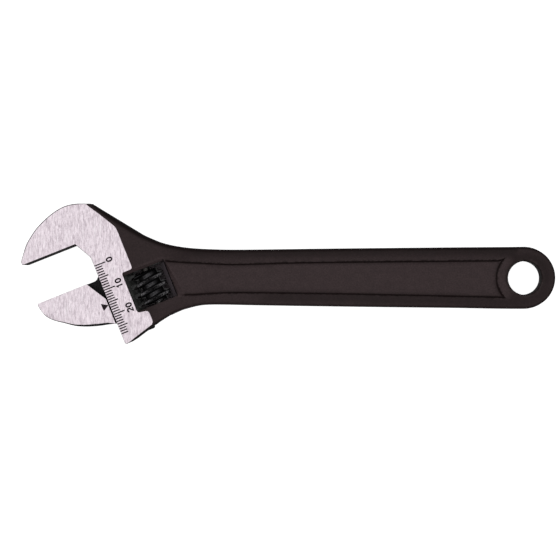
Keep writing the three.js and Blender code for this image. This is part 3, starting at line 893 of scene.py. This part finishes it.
# painted light on the boss round the hanging hole, fading away from it
boss = (~ins) & upper & (xy[:, 0] > 79.5)
painted_light = np.where(boss, np.maximum(painted_light, 0.68 * smooth01((88.0 - xy[:, 0]) / 4.5) * smooth01((hole_r - 7.3) / 0.5) * smooth01((9.5 - np.abs(xy[:, 1] - HOLE["y"])) / 3.0)), painted_light)
painted_light = np.where(boss & (xy[:, 0] > 88), np.maximum(painted_light, 0.26 * smooth01((hole_r - 7.6) / 3.0)), painted_light)
# painted highlight along the top edge of the worm window
edge_of_window = (uv[:, 1] > -9.2) & (uv[:, 1] < WINDOW["top"] + 0.02) & (uv[:, 0] > WINDOW["left"]) & (uv[:, 0] < WINDOW["right"] + 0.2) & (np.abs(z) > 5.7)
painted_light = np.where(edge_of_window, 0.6, painted_light)
# painted light: the steep side wall beside the worm is painted fully lit
deep = (uv[:, 0] > 5.8) & (uv[:, 0] < WINDOW["right"] - 0.38) & (np.abs(uv[:, 1]) < 7.3) & (np.abs(z) < 5.12)
painted_light = np.where(deep, 1.0, painted_light)
# painted shadow: a dark line along the window's right edge
lip = (uv[:, 0] > WINDOW["right"] - 0.40) & (uv[:, 0] < WINDOW["right"] + 0.02) & (np.abs(uv[:, 1]) < 7.3) & (np.abs(z) > 5.0) & (np.abs(z) < 5.95)
painted_light = np.where(lip, 0.0, painted_light)
attribute(body_mesh, "painted_light", np.clip(painted_light, 0, 1))
ring_top = distance(xy, np.vstack([inner, inner[:1]]))
wear = 0.35 * np.exp(-(rim_out / 0.5) ** 2) * np.exp(-((np.abs(z) - 3) / 2.5) ** 2)
hole_d = np.abs(np.hypot(xy[:, 0] - HOLE["x"], xy[:, 1] - HOLE["y"]) - HOLE["r"] - 0.3)
wear += 0.45 * np.exp(-(hole_d / 0.45) ** 2)
attribute(body_mesh, "wear", np.clip(wear, 0, 1))

body = new_object("wrench_body", body_mesh)
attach(body, "forged_body")
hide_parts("body")

# ---------------------------------------------------------------- sliding jaw
jaw_low = [(-43.1, -8.0), (-42.3, -4.9), (-40.9, -2.7), (-38.7, -0.65), (-36.1, 1.25), (-33.4, 3.25), (-30.6, 4.65), (-27.8, 5.75), (-24.4, 6.8), (-21.0, 7.6), (-17.8, 8.45)]
jaw_rows = []


def jaw_edge(points, ins_t, drp_t, step=0.6):
    p = resample([H(u, v) for u, v in points], step)
    s = np.concatenate([[0], np.cumsum(np.linalg.norm(np.diff(p, axis=0), axis=1))])
    s /= s[-1]
    jaw_rows.append(np.column_stack([p, np.interp(s, *zip(*ins_t)), np.interp(s, *zip(*drp_t))])[:-1])


jaw_edge([(-22.6, JAW_FACE), (-42.7, JAW_FACE)], [(0, 0.10), (1, 0.10)], [(0, 0.10), (1, 0.10)])
jaw_edge([(-42.7, JAW_FACE), (-43.2, JAW_FACE + 0.6), (-43.1, -8.0)], [(0, 0.10), (1, 0.3)], [(0, 0.10), (1, 0.6)], 0.35)
jaw_edge(spline(jaw_low, 80).tolist(), [(0, 0.3), (0.2, 0.42), (0.45, 0.75), (0.75, 1.0), (0.9, 0.85), (0.97, 0.35), (1, 0.10)], [(0, 0.6), (0.2, 0.9), (0.45, 1.6), (0.75, 2.0), (0.9, 1.4), (0.97, 0.5), (1, 0.10)])
jaw_edge([(-17.8, 8.45), (-17.8, -1.9)], [(0, 0.10), (1, 0.10)], [(0, 0.10), (1, 0.10)])
jaw_edge([(-17.8, -1.9), (-22.6, JAW_FACE)], [(0, 0.10), (1, 0.10)], [(0, 0.12), (1, 0.12)])
jr = np.vstack(jaw_rows)
j_outer, j_inset, j_drop = jr[:, :2], jr[:, 2], jr[:, 3]
j_inner = j_outer + inward(j_outer.copy()) * j_inset[:, None]
jn = len(j_outer)
jg = grid_points = np.column_stack([g.ravel() for g in np.meshgrid(np.arange(-104, -55, 2.6), np.arange(-28, 12, 2.6))])
jg = jg[inside(j_inner, jg)]
jg = jg[distance(jg, np.vstack([j_inner, j_inner[:1]])) > 1.0]
j_xy, j_faces = sheet_of([*j_inner.tolist(), *jg.tolist()], [(i, (i + 1) % jn) for i in range(jn)], j_inner)
jv, jf, jm = plate(j_outer, j_inset, j_drop, np.minimum(0.25, j_inset * 0.4), np.full(jn, JAW_HALF), 6, j_xy, np.full(len(j_xy), JAW_HALF), j_faces, [1] * len(j_faces), 0)
jaw_base = consistent("jaw_base", jv, jf, jm, [JAW_DARK_SHADED, STEEL_JAW, MARK, RACK])

web_line = [(-26, JAW_FACE), (-19.9, JAW_FACE), (-19.2, JAW_FACE - 0.12), (-18.6, JAW_FACE - 0.45), (-18.15, JAW_FACE - 0.9), (-17.75, JAW_FACE - 1.4), (-17.3, JAW_FACE - 1.75), (-13.4, -12.2),
            (-12.6, -12.0), (-12.6, 9.3), (-18, 8.3), (-26, 5.8)]
web = new_mesh("web", *prism([H(u, v) for u, v in web_line], -WEB_HALF, WEB_HALF), mats=[JAW_DARK_SHADED])
shank = new_mesh("shank", *turned([(0, SHANK_TOP), (SHANK_R - 0.7, SHANK_TOP), (SHANK_R - 0.3, SHANK_TOP + 0.12), (SHANK_R - 0.08, SHANK_TOP + 0.35), (SHANK_R, SHANK_TOP + 0.7),
                                   (SHANK_R, SHANK_END - 0.9), (SHANK_R - 0.12, SHANK_END - 0.45), (SHANK_R - 0.42, SHANK_END - 0.12), (SHANK_R - 0.9, SHANK_END), (0, SHANK_END)], 112, SHANK_U), mats=[RACK])


def half_thread(r):
    return CREST_W / 2 + (WORM_OD_R - r) * THREAD_SLOPE


LEAN = LEAD / (2 * math.pi * 5.1)
gaps = []
for k in range(-3, 5):
    vc = CREST_AT - LEAD / 2 + k * LEAD
    wide, narrow = half_thread(4.4) + RACK_CLEAR, half_thread(WORM_OD_R) + RACK_CLEAR
    sec = [(-4.0, -wide - 0.1), (-4.0, wide + 0.1), (-4.35, wide + 0.02), (-6.2, narrow), (-6.9, narrow - 0.12), (-7.2, narrow - 0.28), (RACK_FLOOR_U, narrow - 0.5),
           (RACK_FLOOR_U, -narrow + 0.5), (-7.2, -narrow + 0.28), (-6.9, -narrow + 0.12), (-6.2, -narrow), (-4.35, -wide - 0.02)]
    rings = []
    for zz in np.linspace(-7, 7, 9):
        rings.append([(*H(u, vc + dv - LEAN * zz), zz) for u, dv in sec])
    gaps.append(new_mesh(f"gap{k}", *loft(rings), mats=[RACK]))

arrow = new_mesh("arrow", *prism([H(-20.4, -0.83), H(-20.3, 2.22), H(-17.85, 0.72)], JAW_HALF - DEPTH, JAW_HALF + 0.6), mats=[MARK])
jaw_mesh = finish_mesh(cut(jaw_base, [("UNION", web), ("UNION", shank), *[("DIFFERENCE", g) for g in gaps], ("DIFFERENCE", arrow)], "sliding_jaw"), 28)
jco = coords(jaw_mesh)
juv = uv_of(jco)
jr_d = np.hypot(juv[:, 0] - SHANK_U, jco[:, 2])
attribute(jaw_mesh, "wear", np.where(juv[:, 0] > -13.5, np.clip(0.35 * smooth01((juv[:, 0] + 7.0) / 1.8) + 0.18 * smooth01((juv[:, 1] - 14.2) / 0.9), 0, 1), 0.04))
jaw = new_object("sliding_jaw", jaw_mesh)
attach(jaw, "sliding_jaw")
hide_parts("movable_jaw")


# ---------------------------------------------------------------- worm: a helical ridge with a rounded, knurled crest
def worm_mesh():
    teeth, per = 66, 4
    n = teeth * per
    wc, wroot = half_thread(WORM_OD_R), half_thread(WORM_ROOT_R)
    # one pitch of the profile from valley to valley: (axial place from the crest, radius, share of the knurl)
    prof = [(-LEAD / 2, WORM_ROOT_R, 0), (-wroot - 0.32, WORM_ROOT_R, 0), (-wroot - 0.10, WORM_ROOT_R + 0.05, 0), (-wroot + 0.03, WORM_ROOT_R + 0.22, 0),
            (-wc - 0.14, 5.30, 0), (-wc - 0.02, 5.50, 0.3), (-wc + 0.14, 5.68, 0.7), (-wc + 0.34, 5.78, 1), (0, WORM_OD_R, 1)]
    prof += [(-a, r, k) for a, r, k in reversed(prof[1:-1])]
    turns = range(-4, 5)
    base = [(a + t * LEAD, r, k) for t in turns for a, r, k in prof]
    m = len(base)
    stride = len(prof)
    verts, faces = [], []
    for i in range(n):
        th = 2 * math.pi * i / n
        phase = i % per
        notch = (0.0, 0.14, 0.30, 0.14)[phase]
        for a, r, kn in base:
            rr = r - notch * kn
            v = CREST_AT + a + LEAD * i / n
            x, y = H(rr * math.cos(th), v)
            verts.append((x, y, rr * math.sin(th)))
    # last column joins the first, one pitch further on; the extra turn at the end closes it
    extra = []
    for a, r, kn in [(q[0] + LEAD * 5, q[1], q[2]) for q in prof]:
        x, y = H(r, CREST_AT + a)
        extra.append(len(verts))
        verts.append((x, y, 0.0))

    def vid(i, j):
        if i < n:
            return i * m + j
        jj = j + stride
        return jj if jj < m else extra[jj - m]
    for i in range(n):
        for j in range(m - 1):
            faces.append((vid(i, j), vid(i + 1, j), vid(i + 1, j + 1), vid(i, j + 1)))
    lo, hi = len(verts), len(verts) + 1
    verts.append((*H(0, -26), 0.0))
    verts.append((*H(0, 27), 0.0))
    for i in range(n):
        faces.append((vid(i + 1, 0), vid(i, 0), lo))
        faces.append((vid(i, m - 1), vid(i + 1, m - 1), hi))
    for j in range(stride):
        faces.append((vid(0, j), vid(0, j + 1), lo))
    tail = [m - 1, *[-1 - t for t in range(stride)]]
    chain = [vid(0, m - 1), *extra]
    for a, b in zip(chain[:-1], chain[1:]):
        faces.append((a, b, hi))
    return verts, faces


wv, wf = worm_mesh()
worm_base = consistent("worm_base", wv, wf, [0] * len(wf), [WORM, PIN])
HL = WORM_LEN / 2
envelope = new_mesh("envelope", *turned([(0, -HL), (3.7, -HL), (4.25, -HL + 0.08), (4.7, -HL + 0.3), (5.2, -HL + 0.5), (5.62, -HL + 0.85), (6.2, -HL + 1.45), (6.2, HL - 1.45),
                                         (5.62, HL - 0.85), (5.2, HL - 0.5), (4.7, HL - 0.3), (4.25, HL - 0.08), (3.7, HL), (0, HL)], 128), mats=[WORM])
worm_bore = new_mesh("worm_bore", *turned([(0, -9), (PIN_R + 0.75, -9), (PIN_R + 0.75, -HL), (PIN_R + 0.3, -HL + 0.4), (PIN_R + 0.3, 9), (0, 9)], 64), mats=[WORM])
counter = new_mesh("counter", *turned([(0, SPRING["start"] - 0.25), (SPRING["mean"] + SPRING["wire"] + 0.3, SPRING["start"] - 0.25), (SPRING["mean"] + SPRING["wire"] + 0.3, 9), (0, 9)], 64), mats=[WORM])
worm_final = finish_mesh(cut(worm_base, [("INTERSECT", envelope), ("DIFFERENCE", worm_bore), ("DIFFERENCE", counter)], "knurled_worm"), 38)
wco = coords(worm_final)
wuv = uv_of(wco)
wrad = np.hypot(wuv[:, 0], wco[:, 2])
attribute(worm_final, "wear", np.clip(0.60 * smooth01((wrad - 5.60) / 0.16) + 0.08 * smooth01((4.3 - wrad) / 0.2) * (wrad > 3.6), 0, 1))
worm = new_object("knurled_worm", worm_final)
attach(worm, "worm_screw")
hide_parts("worm")

# ---------------------------------------------------------------- worm pin
pin_prof = [(0, PIN_TOP), (PIN_R - 0.5, PIN_TOP), (PIN_R - 0.15, PIN_TOP + 0.15), (PIN_R, PIN_TOP + 0.5), (PIN_R, PIN_HEAD_V - 0.15), (PIN_R + 0.15, PIN_HEAD_V), (PIN_HEAD_R - 0.1, PIN_HEAD_V),
            (PIN_HEAD_R, PIN_HEAD_V + 0.12), (PIN_HEAD_R, PIN_END - 0.42), (PIN_HEAD_R - 0.1, PIN_END - 0.16), (PIN_HEAD_R - 0.36, PIN_END - 0.03), (PIN_HEAD_R - 0.8, PIN_END), (0, PIN_END)]
pin_base = new_mesh("pin_base", *turned(pin_prof, 96), mats=[PIN])
slot_ring = []
for v in (PIN_END - 0.8, PIN_END + 1):
    slot_ring.append([(*H(a, v), b) for a, b in ((-4, -0.45), (4, -0.45), (4, 0.45), (-4, 0.45))])
pin_slot = new_mesh("pin_slot", *loft(slot_ring), mats=[PIN])
pin_mesh = finish_mesh(cut(pin_base, [("DIFFERENCE", pin_slot)], "worm_pin_screw"), 30)
pco = uv_of(coords(pin_mesh))
attribute(pin_mesh, "wear", 0.35 * smooth01((pco[:, 1] - PIN_END + 0.5) / 0.3))
pin = new_object("worm_pin_screw", pin_mesh)
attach(pin, "forged_body")
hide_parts("worm_pin")

# ---------------------------------------------------------------- worm spring: round wire with closed ends
sp = SPRING
rings = []
steps = int(sp["turns"] * 48)
span = sp["end"] - sp["start"] - 2 * sp["wire"]
for i in range(steps + 1):
    f = i / steps
    th = 2 * math.pi * sp["turns"] * f
    v = sp["start"] + sp["wire"] + span * f
    ring = []
    for k in range(14):
        a = 2 * math.pi * k / 14
        r = sp["mean"] + sp["wire"] * math.cos(a)
        x, y = H(r * math.cos(th), v + sp["wire"] * math.sin(a))
        ring.append((x, y, r * math.sin(th)))
    rings.append(ring)
spring_mesh = finish_mesh(new_mesh("worm_spring_coil", *loft(rings), mats=[WIRE]), 40)
spring = new_object("worm_spring_coil", spring_mesh)
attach(spring, "forged_body")
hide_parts("worm_spring")

for o in (body, jaw, worm, pin):
    wn = o.modifiers.new("weighted", "WEIGHTED_NORMAL")
    wn.keep_sharp = True
    wn.weight = 60

# ---------------------------------------------------------------- floor, light, camera
floor_mat = Nodes("pale_floor", specular=0.0)
soft = floor_mat.noise(14, 2, 0.5)
# painted shadow on the floor: dark and not glowing where ambient occlusion is strong, under and beside the wrench
hidden = floor_mat.t.nodes.new("ShaderNodeAmbientOcclusion")
hidden.samples = 12
hidden.inputs["Distance"].default_value = 0.03
pale = floor_mat.mix(soft, (0.50, 0.50, 0.50), (0.53, 0.53, 0.53))
reach = floor_mat.t.nodes.new("ShaderNodeVectorMath")
reach.operation = "DISTANCE"
reach.inputs[1].default_value = (WX / 1000, WY / 1000, -0.0001)
floor_mat.link(floor_mat.co, reach.inputs[0])
# painted shadow disc, 12 mm round the worm window's centre, so the floor seen through the window is dark
clear = floor_mat.span(reach.outputs["Value"], 0.0120, 0.0130)
free = floor_mat.math("MULTIPLY", clear, floor_mat.span(hidden.outputs["AO"], 0.06, 0.16))
# elsewhere the floor is pale and glows evenly; the darker colour is the painted shadow
floor_mat.link(floor_mat.mix(free, (0.28, 0.24, 0.26), pale), floor_mat.b.inputs["Base Color"])
floor_mat.b.inputs["Roughness"].default_value = 0.95
floor_mat.b.inputs["Emission Color"].default_value = (1, 1, 1, 1)
floor_mat.link(floor_mat.math("MULTIPLY", free, 0.95), floor_mat.b.inputs["Emission Strength"])
# seen from below the floor is open, so that the underside shows
under = floor_mat.t.nodes.new("ShaderNodeNewGeometry")
open_side = floor_mat.t.nodes.new("ShaderNodeBsdfTransparent")
either = floor_mat.t.nodes.new("ShaderNodeMixShader")
floor_mat.link(under.outputs["Backfacing"], either.inputs[0])
floor_mat.link(floor_mat.b.outputs["BSDF"], either.inputs[1])
floor_mat.link(open_side.outputs["BSDF"], either.inputs[2])
floor_mat.link(either.outputs["Shader"], floor_mat.out.inputs["Surface"])
S = 2.5
floor_mesh = bpy.data.meshes.new("floor")
floor_mesh.from_pydata([(-S, -S, -0.0001), (S, -S, -0.0001), (S, S, -0.0001), (-S, S, -0.0001)], [], [(0, 1, 2, 3)])
floor_mesh.materials.append(floor_mat.m)
floor = new_object("floor", floor_mesh)
floor.visible_diffuse = False
floor.visible_glossy = False

world = bpy.data.worlds.new("studio")
bpy.context.scene.world = world
world.use_nodes = True
wt = world.node_tree
wt.nodes.clear()
wo = wt.nodes.new("ShaderNodeOutputWorld")
bg = wt.nodes.new("ShaderNodeBackground")
tc = wt.nodes.new("ShaderNodeTexCoord")
sep = wt.nodes.new("ShaderNodeSeparateXYZ")
rampn = wt.nodes.new("ShaderNodeValToRGB")
rampn.color_ramp.elements[0].position = 0.0
rampn.color_ramp.elements[0].color = (0.15, 0.15, 0.15, 1)
rampn.color_ramp.elements[1].position = 1.0
rampn.color_ramp.elements[1].color = (0.66, 0.66, 0.66, 1)
low = rampn.color_ramp.elements.new(0.5)
low.color = (0.13, 0.13, 0.13, 1)
below = rampn.color_ramp.elements.new(0.27)
below.color = (0.05, 0.05, 0.05, 1)
mid = rampn.color_ramp.elements.new(0.72)
mid.color = (0.27, 0.27, 0.27, 1)
wt.links.new(tc.outputs["Generated"], sep.inputs[0])
half = wt.nodes.new("ShaderNodeMapRange")
half.inputs["From Min"].default_value = -1.0
wt.links.new(sep.outputs["Z"], half.inputs["Value"])
wt.links.new(half.outputs["Result"], rampn.inputs["Fac"])
path = wt.nodes.new("ShaderNodeLightPath")
plain = wt.nodes.new("ShaderNodeMix")
plain.data_type = "RGBA"
plain.inputs["B"].default_value = (0.93, 0.93, 0.93, 1)
wt.links.new(path.outputs["Is Camera Ray"], plain.inputs["Factor"])
wt.links.new(rampn.outputs["Color"], plain.inputs["A"])
wt.links.new(plain.outputs["Result"], bg.inputs["Color"])
wt.links.new(bg.outputs["Background"], wo.inputs["Surface"])
bg.inputs["Strength"].default_value = 1.0


def softbox(name, at, aim, size_x, size_y, power):
    d = bpy.data.lights.new(name, "AREA")
    d.shape, d.size, d.size_y, d.energy = "RECTANGLE", size_x, size_y, power
    o = bpy.data.objects.new(name, d)
    bpy.context.scene.collection.objects.link(o)
    o.location = at
    o.rotation_mode = "QUATERNION"
    o.rotation_quaternion = (Vector(aim) - Vector(at)).to_track_quat("-Z", "Y")
    return o


# an area light's radiance is power / (pi * area)
softbox("overhead", (0, 0, 1.3), (0, 0, 0), 1.7, 1.7, 0.44 * math.pi * 1.7 * 1.7)
softbox("left_fill", (-0.85, 0.25, 0.65), (-0.02, 0, 0), 0.5, 0.9, 1.3 * math.pi * 0.5 * 0.9)

cam_data = bpy.data.cameras.new("camera")
cam_data.lens = 1544.9 * 36 / 560
cam_data.sensor_width = 36
cam_data.clip_start, cam_data.clip_end = 0.01, 20
camera = bpy.data.objects.new("camera", cam_data)
bpy.context.scene.collection.objects.link(camera)
camera.location = (-0.00358, -0.00248, 0.6065)
camera.rotation_euler = (0, 0, 0)
bpy.context.scene.camera = camera

view = bpy.context.scene.view_settings
view.view_transform = "Standard"
view.look = "None"
view.exposure, view.gamma = 0.0, 1.0

bpy.context.view_layer.update()
